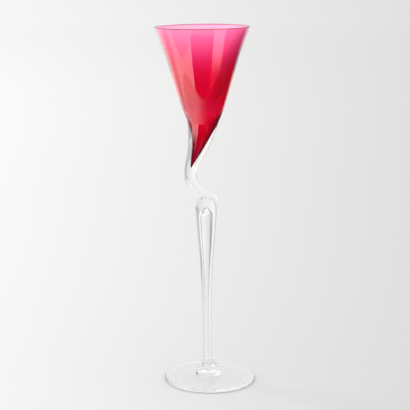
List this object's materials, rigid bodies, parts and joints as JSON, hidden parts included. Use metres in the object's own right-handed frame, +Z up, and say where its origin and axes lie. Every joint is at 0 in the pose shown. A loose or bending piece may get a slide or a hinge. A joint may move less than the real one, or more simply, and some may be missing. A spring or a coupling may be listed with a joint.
{
  "type": "stemmed drinking glass",
  "caption": "Tall hand-made glass flute with a ruby conical bowl, a clear S-bent swan neck, a bubble stem with a bead and wafer, and a round foot.",
  "frame": {"origin": "centre of the foot's standing ring, on the surface that the glass stands on", "axes": "+Z up from the foot to the rim, +X towards the side that the toe of the neck points to, +Y away from the picture's viewer"},
  "size_m": [0.0838, 0.0782, 0.3001],
  "materials": {
    "ruby_glass": "fire-polished ruby glass, pale where thin, deep where thick",
    "clear_glass": "fire-polished clear glass"
  },
  "bodies": {
    "root": {"bowl": "ruby_glass", "swan_neck": "clear_glass", "stem": "clear_glass", "knop": "clear_glass", "foot_wafer": "clear_glass", "foot": "clear_glass"}
  },
  "joints": []
}
